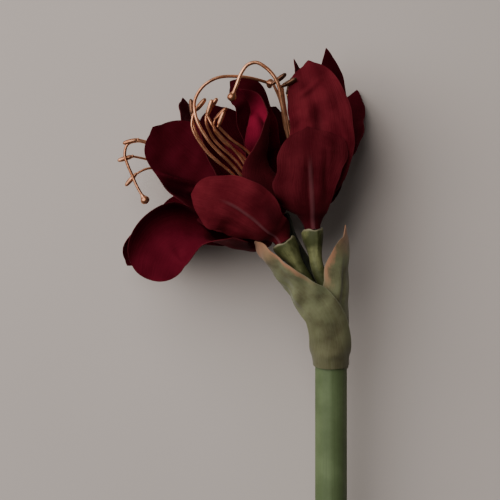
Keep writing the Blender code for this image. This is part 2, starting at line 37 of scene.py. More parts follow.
# How the flower lies, as in the frame
LIE_TILT = math.radians(4.52)
LIE_ROLL = math.radians(6.95)
LIE_SHIFT = (60.69 * MM, 124.61 * MM, 46.39 * MM)
LIE = Matrix.Translation(LIE_SHIFT) @ Euler((LIE_TILT, LIE_ROLL, 0)).to_matrix().to_4x4()

# The photograph's view: where it looks from, in the flower's frame, and how wide it sees there
EYE = (-52.65 * MM, 76.7 * MM, 1000 * MM)
SEEN_WIDTH = 325 * MM

# Faces that meet at more than this have a sharp edge
SHARP_FROM = math.radians(50)

# The scape, rounded over a few rings at each end
STEM_RADIUS = 10.4 * MM
STEM_FOOT = -462 * MM
STEM_TOP = 24 * MM
STEM_SIDES = 96
STEM_ROWS = 200
STEM_EASE = 0.9 * MM
STEM_END = 4 * MM
EASE_RINGS = 6

# Its faint ridges: their height, then how many of a kind there are, their share of it and their turn
STEM_RIDGE = 0.06 * MM
STEM_RIDGES = ((9, 1, 0), (14, 0.6, 1))

# Blades: how finely the sheets are cut, how thick the cloth is, and how much further out every second
# tepal of a whorl stands, in mm
PETAL_ROWS = 100
PETAL_COLUMNS = 60
VALVE_COLUMNS = 84
CLOTH = 0.5 * MM
SPINE_STEPS = 120
CURVE_SAMPLES = 40
WHORL_STEP = 0.5

# Blades: the lower share of the rows widens from the root, the rest rounds off to a small point
LOWER_SHARE = 0.5
BLUNT = 0.6
POINT_SHARPNESS = 10

# Blades: the uneven outline, a wave of so many radians from root to tip and a finer one
FRILL_PACE = 17
FRILL_FINER = 1.7
FRILL_PHASE = 3
FRILL_LAG = 2

# Blades: the midrib's welt, and a groove that lies some rib widths beside it
RIB_HEIGHT = 0.45 * MM
RIB_GROOVE = 0.5 * MM
GROOVE_PLACE = 1.5
RIB_FADE = 0.18

# Blades: the waved edges, the hollows and the creases, with the shares between which they grow or fade
WAVES = 2.5
WAVE_LAG = 2.1
WAVE_GROWS = (0.2, 0.6)
UNEVEN_WAVES = 7
UNEVEN_LENGTHS = (11 * MM, 30 * MM)
UNEVEN_GROWS = (0.1, 0.4)
CREASE_FADE = 0.12

# Blades: the seeds of their hollows, so many apart from bloom to bloom, and the first valve's
BLOOM_SEEDS = 10
VALVE_SEEDS = 40

# Filaments: where they start, their radii, and by which factors these taper
CORE_LENGTH = 9 * MM
FILAMENT_INSET = 1.2 * MM
FILAMENT_RADIUS = 0.92 * MM
STYLE_RADIUS = 1.12 * MM
FILAMENT_TAPER = (1.12, 0.95)
FILAMENT_FLATNESS = 0.08
FILAMENT_STEP = 1.5 * MM
FILAMENT_SIDES = 12

# Turned parts of stamens: their sides, then rings at mm past the rod's end with their radii in mm
BEADS = {
    "collar": (14, ((0, 0.75), (0.5, 1.15), (1.1, 1.2), (1.6, 0.8))),
    "anther": (18, (
        (-0.6, 0.7), (0.6, 1.2), (2.2, 1.6), (4.5, 1.75), (6.5, 1.75), (8.5, 1.55), (10, 1.1), (10.7, 0.1),
    )),
    "knob": (20, ((-1.2, 1.0), (0.6, 1.8), (2.0, 2.8), (3.5, 3.1), (5.0, 2.4), (6.0, 0.2))),
    "neck": (16, ((-1, 0.8), (0.5, 1.2), (1.8, 1.6), (2.8, 1.0))),
    "lobe": (14, ((0, 0.8), (1.2, 1.4), (2.7, 1.65), (4, 1.3), (4.8, 0.1))),
}
BEAD_RINGS = 18
COLLAR_BACK = 0.8 * MM
FURROW_DEPTH = 0.22
FURROW_WIDTH = 0.35
STIGMA_LOBES = 3
LOBE_START = 1 * MM
LOBE_SPREAD = 0.75
LOBE_TURN = 0.5

# How far a rod may lean ahead, or a bead upwards, before its sides are set out from another way
ROD_LEAN = 0.9
BEAD_LEAN = 0.8

# Pedicels, each widening into a receptacle, whose rings are mm below its rim and radii in mm
PEDICEL_RADIUS = 4.2 * MM
PEDICEL_RING = 5.9 * MM
PEDICEL_GAP = 0.3 * MM
PEDICEL_RISE = 5 * MM
PEDICEL_STEPS = 40
RECEPTACLE = 20 * MM
RECEPTACLE_SIDES = 72
RECEPTACLE_PROFILE = (
    (18, 4.25), (16, 4.4), (14, 4.7), (12, 5.1), (10, 5.6), (8, 6.1), (6, 6.5), (4, 6.75), (2.5, 6.85),
    (1.2, 6.9), (0.4, 6.85), (0, 6.6), (0, 6.3), (0.5, 6.0), (1.6, 5.6), (2.6, 5.0), (3, 3.5),
)

# Receptacles: lobes with a seam on each, full from a share of the length, and a wavy rim
SEAMS = 3
LOBE_DEPTH = 0.05
LOBES_FULL = 0.55
SEAM_HEIGHT = 0.09
SEAM_WIDTH = 0.13
RIM_FALL = 1.5 * MM
RIM_WAVE = 0.7 * MM
RIM_RIPPLE = RIM_WAVE / 3
RIM_RIPPLES = 7

# Colours
OUTER = (0.172, 0.0145, 0.0235)
OUTER_DEEP = (0.105, 0.006, 0.012)
INNER = (0.105, 0.006, 0.014)
INNER_DEEP = (0.066, 0.003, 0.008)
# Magenta of an inner face: the cloth's own tint, brightened into painted light where the face is lit
MAGENTA = (0.33, 0.013, 0.046)
# Painted shade deep in a bloom's throat, towards the tepals' roots
THROAT = (0.02, 0.001, 0.002)
# Painted shade over whole tepals and in the patches of their creases
PAINTED_SHADE_COLOUR = (0.014, 0.0008, 0.0022)
# Painted sheen: a greyer band along the tepals' edges
PETAL_EDGE_SHEEN = (0.13, 0.018, 0.025)
RIB_TINT = (0.165, 0.05, 0.058)
COPPER = (0.92, 0.44, 0.25)
COPPER_DARK = (0.5, 0.2, 0.1)
BRONZE = (0.07, 0.03, 0.016)
STALK_LIGHT = (0.145, 0.195, 0.085)
STALK_DARK = (0.1, 0.138, 0.056)
CUP_LIGHT = (0.24, 0.245, 0.1)
CUP_DARK = (0.06, 0.066, 0.02)
CUP_RIM = (0.33, 0.29, 0.18)
SHADED_LIGHT = (0.03, 0.034, 0.014)
SHADED_DARK = (0.007, 0.007, 0.004)
SPATHE_LIGHT = (0.175, 0.185, 0.088)
SPATHE_DARK = (0.082, 0.066, 0.027)
SPATHE_PALE = (0.23, 0.225, 0.14)
RUST = (0.42, 0.2, 0.11)

# Materials: where a band along a blade's edge starts (wear on a valve, painted sheen on a tepal), the
# values of a noise that roughness follows, and a mix node's sockets
EDGE_BAND_FROM = 0.93
GRAIN_RANGE = (0.2, 0.8)
MIX_INPUTS = (0, 6, 7)
MIX_OUTPUT = 2

# The studio: a floor, and a lamp with its place and its target in the flower's frame
FLOOR_SIZE = 6.0
FLOOR_DROP = 0.3 * MM
FLOOR_COLOUR = (0.605, 0.535, 0.495)
FLOOR_SHADE = (0.58, 0.512, 0.473)
LAMP_PLACE = (-1.2, 0.8, 1.3)
LAMP_TARGET = (-0.05, 0.06, 0.0)
LAMP_SIZE = 2.6
LAMP_POWER = 58
LAMP_COLOUR = (1.0, 0.985, 0.965)
WORLD_COLOUR = (1.0, 0.98, 0.96)
WORLD_STRENGTH = 0.05


@dataclass
class Growth:
    """Where blades grow from: a point in millimetres and the axis that they stand round."""

    base: tuple
    axis: tuple

    def frame(self):
        return np.array(self.base, float) * MM, unit(self.axis)


@dataclass
class Crease:
    """A fold in a blade, raised by height mm, between two places (mm from the midrib, share of the length).

    Its painted shadow darkens the cloth in it, from 0 to 1; a crease with no height is only a patch of
    painted shadow.
    """

    start: tuple
    end: tuple
    height: float
    width: float = 2.5
    painted_shadow: float = 0


@dataclass
class Blade:
    """A tepal or a spathe valve, whose midrib runs from its root ring through its path's points, in mm.

    faces are the ways that the inner side looks in, at even steps from just above the root to the tip.
    cup is the angle in degrees that the full width turns through, and sides fits the width of each edge by
    a factor, both at even steps from root to tip.
    neck is how far up the midrib goes before it follows its path, and flare how far out, in mm.
    widest is the share of the length that widens, and opens the one where the curl of the root has gone.
    frill is how uneven the outline is, as a share of the width, and point how long the tip's small point
    is, in mm. wave and uneven are the heights of waves and hollows in mm.
    Its painted shade darkens the whole cloth, from 0 to 1. blush is how bright a magenta its inner face is,
    from 0 to 1: the cloth's own tint, brightened as painted light where an inner face is lit. A valve's
    blush is 1 or -1, for the edge that is rusty.
    """

    path: tuple
    faces: tuple
    width: float = 46
    cup: tuple = (90, 60, 30, 10)
    root_radius: float = 3.6
    root_width: float = 8
    neck: float = 12
    flare: float = 1.5
    widest: float = 0.56
    widening: float = 1.2
    opens: float = 0.22
    sides: tuple = ((1, 1), (1, 1))
    frill: float = 0.02
    point: float = 2
    point_width: float = 0.2
    wave: float = 1.6
    phase: float = 0
    rib: float = 0
    rib_width: float = 1.0
    rib_end: float = 0.62
    uneven: float = 0.5
    creases: tuple = ()
    painted_shade: float = 0
    blush: float = 0


@dataclass
class Filament:
    """A stamen, or the style if it ends in a knob.

    anther is the way that its far end points, and ripe is how dark that end is, from 0 to 1.
    """

    path: tuple
    anther: tuple = (0, 1, 0)
    knob: str = ""
    ripe: float = 0.2


@dataclass
class Bloom:
    """Six tepals and seven filaments on a stalk.

    foot_turn and seam_turn are the degrees by which its stalk's foot stands round the scape and its first
    seam round the receptacle. girth is how much the receptacle swells, as a factor.
    """

    growth: Growth
    tepals: tuple
    filaments: tuple
    foot_turn: float
    seam_turn: float
    girth: float = 1


LEFT_TEPALS = (
    Blade(
        path=((-41, 88, 18), (-53, 98, 24), (-66, 106, 28), (-78.5, 110.5, 29), (-90, 112, 27)),
        faces=((0.3, 0.1, -1), (0.3, 0, -1), (0.3, -0.1, -1), (0.5, -0.1, -1)),
        cup=(130, 80, 70, 60), root_radius=5.2, root_width=14, neck=5, flare=0.6,
        widest=0.45, widening=0.85, opens=0.12, point=1, phase=0.5,
        rib=1, rib_width=0.8, rib_end=0.76,
        sides=((0.7, 0.6, 0.86, 0.86, 0.97, 0.9), (1.3, 0.84, 0.92, 0.87, 0.75, 0.75)),
        creases=(
            Crease((8, 0.12), (12, 0.42), 0, 7, painted_shadow=0.55), Crease((-5, 0.2), (-9, 0.8), -0.6, 1.3),
            Crease((-9, 0.25), (-15, 0.75), 0.7, 1.8), Crease((5, 0.3), (8, 0.85), 0.6, 1.6),
        ),
    ),
    Blade(
        path=((-45, 98, -4), (-68, 116, -12), (-95, 134.5, -18), (-117, 158, -16)),
        faces=((0.3, -0.1, 1), (0.55, -0.25, 1), (0.5, -0.25, 1)),
        width=56, sides=((0.9, 0.9, 0.9, 1.05, 1.0, 1.0), (1, 1.2, 1.14, 0.86, 0.78, 0.95)),
        phase=2.0, painted_shade=0.3,
        creases=(
            Crease((13, 0.82), (21, 0.4), -2, 7, painted_shadow=0.75), Crease((8, 0.62), (2, 0.3), 0, 7, painted_shadow=0.5),
            Crease((18, 0.79), (9, 0.63), 6, 1.7), Crease((22, 0.74), (14, 0.56), -5, 3, painted_shadow=0.97),
            Crease((16, 0.63), (1, 0.5), 6, 1.7), Crease((21, 0.57), (6, 0.44), -5, 3.5, painted_shadow=0.97),
        ),
    ),
    Blade(
        path=(
            (-37, 103, 16), (-44, 127, 15), (-41.5, 147, 12), (-40.5, 163, 8), (-45, 173.5, 6),
            (-60, 181, 3),
        ),
        faces=((-0.6, 0.1, -0.8), (-0.6, 0.1, -0.8), (-1, 0.1, -0.1), (-1, 0, 0), (-0.3, -0.8, 0.5)),
        width=33, cup=(90, 90, 90, 140, 150, 120), phase=3.5, neck=10,
        sides=((1, 1, 1, 0.6, 0.3, 0.3), (0.7, 0.6, 0.9, 1.4, 1.35, 0.5)), painted_shade=0.15, blush=0.95,
        creases=(
            Crease((12.5, 0.6), (13.5, 0.8), -2, 2.6, painted_shadow=0.99),
            Crease((-8, 0.94), (18, 0.94), 0, 9, painted_shadow=0.9),
            Crease((16, 0.4), (16, 0.66), 0, 8, painted_shadow=0.85), Crease((-6, 0.1), (-4, 0.75), 0, 11, painted_shadow=0.55),
        ),
    ),
    Blade(
        path=((-49, 77, 2), (-67, 79, 2), (-86, 86, 6), (-105, 81, 10), (-116.5, 57, 8)),
        faces=(
            (0, 1, -0.2), (0, 1, -0.1), (0, 1, 0), (0, 0.9, 0.4), (-0.1, 0.3, 0.95), (-0.2, 0.1, 1),
            (-0.1, 0, 1),
        ),
        width=50, cup=(90, 60, 60, 50), point=0, phase=1.0, rib=0.6, rib_end=0.5,
        sides=((1, 1, 0.85, 0.8, 0.92, 1), (1, 1, 1.02, 0.8, 0.88, 1)), painted_shade=0.15, blush=0.11,
        creases=(
            Crease((-27, 0.3), (-27, 0.95), 13, 8), Crease((-20, 0.35), (-20, 0.9), 0, 6, painted_shadow=0.85),
            Crease((14, 0.06), (14, 0.42), 0, 13, painted_shadow=0.92),
        ),
    ),
    Blade(
        path=((-45, 106, -8), (-58, 133, -15), (-69, 155, -21), (-77, 173, -26)),
        faces=((0.3, -0.1, 0.9), (0.6, -0.3, 0.8), (0.5, -0.3, 0.8)),
        sides=((1, 0.6, 0.75, 0.9, 1, 1), (1, 1)), phase=5.0, painted_shade=0.65,
    ),
    Blade(
        path=((-38, 107, -6), (-46, 136, -12), (-50, 161, -14), (-55, 178, -14), (-66, 188, -14)),
        faces=((0.3, -0.1, 0.9), (0.6, -0.2, 0.8), (0.5, -0.4, 0.8)),
        width=34, sides=((1, 1), (1, 0.9, 0.8, 0.7, 0.85, 1)), frill=0.05, phase=4.2, painted_shade=0.55,
    ),
)
LEFT_FILAMENTS = (
    Filament(
        path=((-45, 106, 2), (-64, 126, 6), (-82, 142, 10), (-90, 158, 12), (-88, 166, 12)),
        anther=(0.6, 0.7, 0), ripe=0.5,
    ),
    Filament(
        path=((-44, 107, 0), (-59.5, 132, 4), (-78, 151.5, 8), (-81, 160, 10), (-80, 166, 10)),
        anther=(0.6, 0.8, 0),
    ),
    Filament(path=((-44, 107, 4), (-58, 135, 10), (-77.5, 158, 14), (-80, 163, 14)), anther=(0.3, 1, 0.1)),
    Filament(
        path=((-43, 108, 0), (-56.5, 136.5, 3), (-72, 149, 7), (-76, 155, 8), (-75, 161, 8)),
        anther=(0.7, 0.7, 0),
    ),
    Filament(path=((-42, 108, 2), (-53, 139, 8), (-66, 149, 12), (-73, 156, 14)), anther=(0.4, 1, 0.2)),
    Filament(
        path=((-46, 106, 0), (-64, 126, 0), (-82, 143, 2), (-89, 157, 4), (-90, 164, 4)),
        anther=(-0.1, 1, 0), ripe=0.8,
    ),
    Filament(
        path=(
            (-45, 106, 6), (-62, 129, 12), (-80, 148, 16), (-87, 161, 17), (-88, 172, 16),
            (-83, 181, 16), (-76, 186, 15), (-58, 188, 12), (-42.5, 185, 8),
        ),
        knob="lobed",
    ),
)
RIGHT_TEPALS = (
    Blade(
        path=((-12.5, 102, 15), (-13.5, 114, 22), (-14.5, 128, 26), (-15, 142, 26), (-16, 155, 22)),
        faces=((0, 0.1, -1), (-0.1, 0, -1), (-0.1, 0, -1), (-0.1, -0.1, -1)),
        width=48, cup=(130, 60, 40, 40), root_radius=5, root_width=13, neck=5, flare=0.6,
        widening=0.85, opens=0.16, phase=0.2, rib=0.75, rib_width=1.35, rib_end=0.75, painted_shade=0.36,
        sides=((1, 1.15, 1.07, 0.92, 0.86, 0.85), (0.8, 0.62, 0.72, 0.92, 1.18, 1.45)), uneven=0.8,
        creases=(
            Crease((9, 0.3), (11, 0.85), 1, 2.2), Crease((6, 0.9), (18, 0.82), -0.8, 1.8),
            Crease((9, 0.82), (17, 0.76), -0.6, 1.6),
        ),
    ),
    Blade(
        path=((-10, 107, 10), (-7, 130, 18), (-7, 157, 20), (-10, 179, 15), (-15, 199, 6)),
        faces=((0, 0, -1), (0, 0, -1), (0, -0.1, -1)),
        width=42, sides=((1, 1), (1, 1, 1, 1, 0.85, 0.8)), phase=1.9, painted_shade=0.12, uneven=0.9,
        creases=(
            Crease((-12, 0.78), (2, 0.85), -1.6, 2), Crease((-3, 0.5), (-1, 0.7), 2, 3.5, painted_shadow=0.4),
            Crease((-8, 0.36), (10, 0.4), 0, 12, painted_shadow=0.62),
            Crease((12, 0.62), (17, 0.5), -1.2, 2.2), Crease((-14, 0.5), (-9, 0.66), -1, 2.5),
        ),
    ),
    Blade(
        path=((-6, 107, -8), (1, 131, -28), (10, 157, -44), (21, 187, -58.3)),
        faces=((-0.6, 0, 0.8),) * 3,
        width=37, sides=((1, 0.85, 0.82, 1.2, 0.95, 1), (1, 1)), point=7, point_width=0.5,
        frill=0.03, phase=3.1, painted_shade=0.5,
    ),
    Blade(
        path=((-9, 110, -8), (-2, 142, -15), (1, 176, -20), (-2, 211, -22)),
        faces=((0.4, 0, 1), (0.6, 0, 0.9), (0.6, 0, 0.9)),
        width=38, sides=((1, 1, 0.85, 0.7, 0.75, 1.3), (1, 1, 1, 0.9, 0.8, 0.7)),
        point=10, point_width=0.5, phase=0.9, painted_shade=0.4,
    ),
    Blade(
        path=((-13, 112, -10), (-14, 143, -20), (-16, 173, -26), (-23, 204, -24)),
        faces=((0.7, 0, 0.7), (0.9, 0.1, 0.4), (0.9, 0.1, 0.4)),
        width=36, point=6, phase=4.4, painted_shade=0.4,
    ),
    Blade(
        path=((-19, 106, -14), (-27, 132, -30), (-33, 158, -42), (-35, 175, -56)),
        faces=((0.4, 0, 0.9), (0.4, -0.1, 0.9), (0.5, 0, 0.8)),
        width=40, sides=((1, 1), (1, 0.7, 0.75, 0.85, 1, 1)), phase=2.4, painted_shade=0.9,
    ),
)
RIGHT_FILAMENTS = (
    Filament(
        path=((-18, 112, 2), (-24, 138, 3), (-30, 156, 6), (-33, 172, 13), (-38, 183, 18)),
        anther=(0.8, 0.6, 0), ripe=0.93,
    ),
    Filament(
        path=((-17, 112, 3), (-22, 138, 2), (-28, 158, 5), (-32, 182, 12)),
        anther=(0.8, 0.4, 0.2), ripe=0.93,
    ),
    Filament(
        path=((-17, 112, 1), (-20, 138, 1), (-24.5, 158, 4), (-28.5, 178, 8)),
        anther=(0.3, 0.9, 0.1), ripe=0.93,
    ),
    Filament(path=((-18, 112, 0), (-20, 138, -4), (-21, 158, -4), (-24, 172, -2)), anther=(0.1, 0.9, 0.1)),
    Filament(path=((-16, 112, 3), (-19, 138, 5), (-22.5, 158, 3), (-25, 170, 1)), anther=(0.1, 0.9, 0.1)),
    Filament(path=((-17, 112, 1), (-21, 138, 0), (-24, 156, -3), (-26, 172, -3)), anther=(0.1, 0.9, 0.1)),
    Filament(
        path=(
            (-19, 112, 4), (-26, 140, 8), (-32, 170, 19), (-36, 185, 22), (-43, 193, 22),
            (-49, 196, 22), (-54, 194.5, 22), (-58, 189.5, 22), (-61, 182, 21), (-63, 177, 20),
        ),
        knob="round",
    ),
)
BACK_TEPALS = (
    Blade(
        path=((-47, 96, -28), (-76, 95, -39), (-107, 89, -46), (-125, 80, -46), (-136, 66, -44)),
        faces=((0, -0.5, 0.5), (0, 0.1, 0.8), (0.3, -0.1, 1), (0.3, -0.1, 1)),
        width=38, cup=(90, 120, 150, 150, 120), phase=0.7, neck=8, painted_shade=0.4,
    ),
    Blade(
        path=((-37, 119, -31), (-64, 137, -44), (-90, 157, -52), (-99, 181, -54)),
        faces=((0, -1, -0.3), (0.4, -0.8, 0), (0.8, 0.3, 0.35)),
        width=38.6, phase=2.2, neck=8, painted_shade=0.4,
    ),
    Blade(
        path=((-47, 114, -42), (-74, 128, -54), (-100, 138, -60), (-121, 142, -60)),
        faces=((0, -0.5, 1), (0, -0.3, 1), (0, 0, 1)),
        width=42, phase=3.3, neck=8,
    ),
    Blade(
        path=((-49, 104, -44), (-76, 102, -58), (-98, 98, -62), (-117, 92, -58)),
        faces=((0, 0.3, 1), (0, 0.3, 1), (0, 0, 1)),
        width=40, phase=1.3, neck=8,
    ),
    Blade(
        path=((-47, 98, -38), (-74, 95, -50), (-98, 88, -56), (-116, 76, -56)),
        faces=((0, 1, 0.5), (0, 1, 0.8), (0, 0.3, 1)),
        width=36, phase=4.1, neck=8,
    ),
    Blade(
        path=((-46, 112, -19), (-76, 125, -29), (-102, 133, -33), (-118, 133, -30)),
        faces=((0, 0, -1),) * 3,
        width=38, phase=5.2, neck=8,
    ),
)
BACK_FILAMENTS = (
    Filament(
        path=((-44, 113, -28), (-80, 124, -42), (-105, 138, -42), (-120, 149, -38), (-128, 151, -36)),
        anther=(-0.8, -0.2, 0),
    ),
    Filament(
        path=((-44, 112, -28), (-80, 120, -42), (-105, 132, -44), (-122, 138, -42), (-132, 140, -40)),
        anther=(-1, -0.3, 0),
    ),
    Filament(
        path=((-44, 112, -27), (-80, 118, -44), (-105, 128, -46), (-122, 132, -44), (-130, 128, -42)),
        anther=(-0.7, -0.8, 0),
    ),
    Filament(path=((-44, 111, -27), (-80, 116, -46), (-100, 120, -48)), anther=(-0.8, 0.5, 0)),
    Filament(path=((-44, 111, -27), (-80, 116, -42), (-98, 116, -44)), anther=(-0.8, 0.5, 0)),
    Filament(path=((-44, 112, -26), (-80, 122, -39), (-104, 130, -40)), anther=(-0.8, 0.5, 0)),
    Filament(
        path=(
            (-44, 113, -27), (-80, 125, -40), (-105, 139, -40), (-118, 147, -38),
            (-129, 150, -36), (-135, 148, -36), (-137, 141, -36), (-135, 134, -36),
            (-132, 127, -36), (-129, 120, -36), (-125, 113, -36),
        ),
        knob="round",
    ),
)
BLOOMS = {
    "left": Bloom(
        Growth(base=(-31, 82, 8), axis=(-0.5, 0.85, 0)), LEFT_TEPALS, LEFT_FILAMENTS,
        foot_turn=-65, seam_turn=8, girth=1.45,
    ),
    "right": Bloom(
        Growth(base=(-12, 90, 4), axis=(-0.1, 0.99, 0)), RIGHT_TEPALS, RIGHT_FILAMENTS,
        foot_turn=50, seam_turn=19,
    ),
    "back": Bloom(
        Growth(base=(-33, 98, -20), axis=(-0.45, 0.85, -0.25)), BACK_TEPALS, BACK_FILAMENTS,
        foot_turn=180, seam_turn=40,
    ),
}

SPATHE = Growth(base=(0, 0, 0), axis=(0, 1, 0))
VALVES = {
    "left": Blade(
        path=((-1, 20, 13.2), (-6, 36, 15), (-20, 51, 14.6), (-37, 64.5, 12), (-49.5, 82.5, 9)),
        faces=((0, 0, -1), (0.2, 0.3, -1), (0.6, 0.7, -0.6), (0.6, 0.6, -0.5)),
        width=28, cup=(120, 80, 78, 95, 70), root_radius=11.5, root_width=44, neck=8,
        sides=((1, 1, 1, 1.1, 1.4, 2), (1, 1, 0.9, 0.72, 0.84, 1.1)), frill=0.035,
        widest=0.3, point=1, wave=0.9, uneven=0.8, blush=1,
        creases=(
            Crease((-6, 0.08), (8, 0.1), -1.2, 3), Crease((3, 0.16), (6, 0.28), 1.4, 5),
            Crease((-9, 0.3), (-7, 0.75), -1, 2), Crease((4, 0.35), (3, 0.8), 0.8, 2.5),
        ),
    ),
    "right": Blade(
        path=((10.5, 30, 4.1), (10.8, 58, 4.2), (10.6, 78, 4.2), (9, 93, 4)),
        faces=((-1, 0, -0.39),) * 3,
        width=42, cup=(212, 214, 190, 130), root_radius=11, root_width=38, neck=10, flare=0.2,
        widest=0.4, point=7, frill=0.03, wave=0.6, blush=-1,
        creases=(Crease((-12, 0.35), (-8, 0.75), -0.9, 2), Crease((-7, 0.3), (-5, 0.8), 0.8, 2)),
    ),
}


def ramp(share, start, end):
    return np.clip((share - start) / (end - start), 0, 1)


def ease(share):
    return share**2 * (3 - 2 * share)


def unit(vectors):
    """A vector, or each row of many, made one long."""
    return vectors / np.linalg.norm(vectors, axis=-1, keepdims=True)


def square_to(ways, vectors):
    """What the vectors have square to the ways, made one long."""
    return unit(vectors - (vectors * ways).sum(-1, keepdims=True) * ways)


def ring_angles(sides):
    return np.linspace(0, 2 * math.pi, sides, endpoint=False)


def step_lengths(points):
    return np.linalg.norm(np.diff(points, axis=0), axis=1)


def keyed(keys, share):
    """The smooth curve through evenly spaced keys, numbers or points, read at shares from 0 to 1."""
    keys = np.array(keys, float)
    keys = np.concatenate([2 * keys[:1] - keys[1:2], keys, 2 * keys[-1:] - keys[-2:-1]])
    place = np.clip(share, 0, 1) * (len(keys) - 3)
    first = np.minimum(place.astype(int), len(keys) - 4)
    f = (place - first).reshape((-1,) + (1,) * (keys.ndim - 1))
    a, b, c, d = (keys[first + i] for i in range(4))
    return b + 0.5 * f * (c - a + f * (2 * a - 5 * b + 4 * c - d + f * (3 * (b - c) + d - a)))


def hermite(start, start_way, end, end_way):
    """Points on a smooth curve that leaves start and reaches end in the given ways."""
    t = np.linspace(0, 1, CURVE_SAMPLES)[:, None]
    return start + ease(t) * (end - start) + t * (1 - t) * ((1 - t) * start_way - t * end_way)


def rows_at(places, known, rows):
    """Rows of three numbers, given at known places and read at others."""
    return np.stack([np.interp(places, known, rows[:, i]) for i in range(3)], axis=1)


def even_curve(points, count):
    """A smooth curve through the points, as evenly spaced samples of it."""
    points = np.array(points, float)
    chords = step_lengths(points)
    slopes = np.diff(points, axis=0) / chords[:, None]
    both = (chords[1:] + chords[:-1])[:, None]
    middle = (slopes[:-1] * chords[1:, None] + slopes[1:] * chords[:-1, None]) / both
    first, last = 1.5 * slopes[:1] - 0.5 * middle[:1], 1.5 * slopes[-1:] - 0.5 * middle[-1:]
    ways = np.concatenate([first, middle, last])
    dense = np.concatenate([
        hermite(points[i], ways[i] * chord, points[i + 1], ways[i + 1] * chord)
        for i, chord in enumerate(chords)
    ])
    run = np.concatenate([[0], np.cumsum(step_lengths(dense))])
    return rows_at(np.linspace(0, run[-1], count), run, dense)


def outward(growth, point):
    """The way from the growth's axis to a point."""
    base, axis = growth.frame()
    return square_to(axis, np.array(point) * MM - base)


def spine(growth, blade):
    """The midrib of a blade, its length, and the ways across the blade and out of its inner face."""
    base, axis = growth.frame()
    out = outward(growth, blade.path[0])
    root = base + out * blade.root_radius * MM
    neck = base + axis * blade.neck * MM + out * (blade.root_radius + blade.flare) * MM
    points = even_curve(np.concatenate([[root, neck], np.array(blade.path) * MM]), SPINE_STEPS + 1)
    along = unit(np.gradient(points, axis=0))
    faces = [-out, *(unit(face) for face in blade.faces)]
    face = square_to(along, keyed(faces, np.linspace(0, 1, SPINE_STEPS + 1)))
    return points, step_lengths(points).sum(), np.cross(face, along), face


def flat_pattern(blade, length, u, v):
    """A blade's flat cut: u runs from edge to edge, -1 to 1, and v from root to tip, 0 to 1.

    The lower part widens from the root. The upper part is half an ellipse with a small point at its tip.
    """
    half, foot = blade.width / 2 * MM, blade.root_width / 2 * MM
    low = ramp(v, 0, LOWER_SHARE)
    high = ramp(v, LOWER_SHARE, 1)
    widening = foot + (half - foot) * np.sin(math.pi / 2 * low) ** blade.widening
    side = u * np.sqrt(1 - high**2 / 2)
    rise = (high * np.sqrt(1 - u**2 / 2)) ** BLUNT
    tip = 1 - blade.point * MM / length
    share = tip * (blade.widest * low + (1 - blade.widest) * rise)
    x = side * np.where(high > 0, half, widening)
    wave = np.sin(FRILL_PACE * share + FRILL_PHASE * blade.phase + FRILL_LAG * (u > 0))
    finer = np.sin(FRILL_FINER * FRILL_PACE * share)
    x = x * (1 + blade.frill * (wave + finer) * np.sin(math.pi * share))
    x = x * np.where(u > 0, keyed(blade.sides[1], share), keyed(blade.sides[0], share))
    return x, share + (1 - tip) * (1 - ramp(np.abs(side), 0, blade.point_width)) * rise**POINT_SHARPNESS


def crease_reach(crease, x, y, length):
    """How much of a fold there is at x, y, which are metres from the midrib and from the root, 0 to 1."""
    start = np.array((crease.start[0] * MM, crease.start[1] * length))
    end = np.array((crease.end[0] * MM, crease.end[1] * length))
    line = end - start
    t = np.clip(((x - start[0]) * line[0] + (y - start[1]) * line[1]) / (line @ line), 0, 1)
    away = np.hypot(x - start[0] - t * line[0], y - start[1] - t * line[1])
    fade = np.sin(math.pi * (CREASE_FADE + (1 - 2 * CREASE_FADE) * t))
    return fade * np.exp(-((away / (crease.width * MM)) ** 2))


def cloth_uneven(x, y, seed):
    """The soft hollows and swellings of pressed cloth, as a sum of waves that lie every way."""
    draw = np.random.default_rng(seed)
    total = np.zeros_like(x)
    for _ in range(UNEVEN_WAVES):
        turn = draw.uniform(0, math.pi)
        pace = 2 * math.pi / draw.uniform(*UNEVEN_LENGTHS)
        total += np.sin(pace * (x * math.cos(turn) + y * math.sin(turn)) + draw.uniform(0, 2 * math.pi))
    return total / math.sqrt(UNEVEN_WAVES)


def rib_fade(blade, share):
    return 1 - ease(ramp(share, blade.rib_end - RIB_FADE, blade.rib_end))


def rib_band(blade, x, share):
    """How much a point belongs to the flat band of the midrib, 0 to 1."""
    return np.exp(-((x / (blade.rib_width * MM)) ** 4)) * rib_fade(blade, share)


def rib_welt(blade, x, share):
    """The midrib's raised band, with a groove along one side of it."""
    aside = x / (blade.rib_width * MM) + GROOVE_PLACE
    groove = np.exp(-(aside**2)) * rib_fade(blade, share)
    return RIB_HEIGHT * rib_band(blade, x, share) - RIB_GROOVE * groove


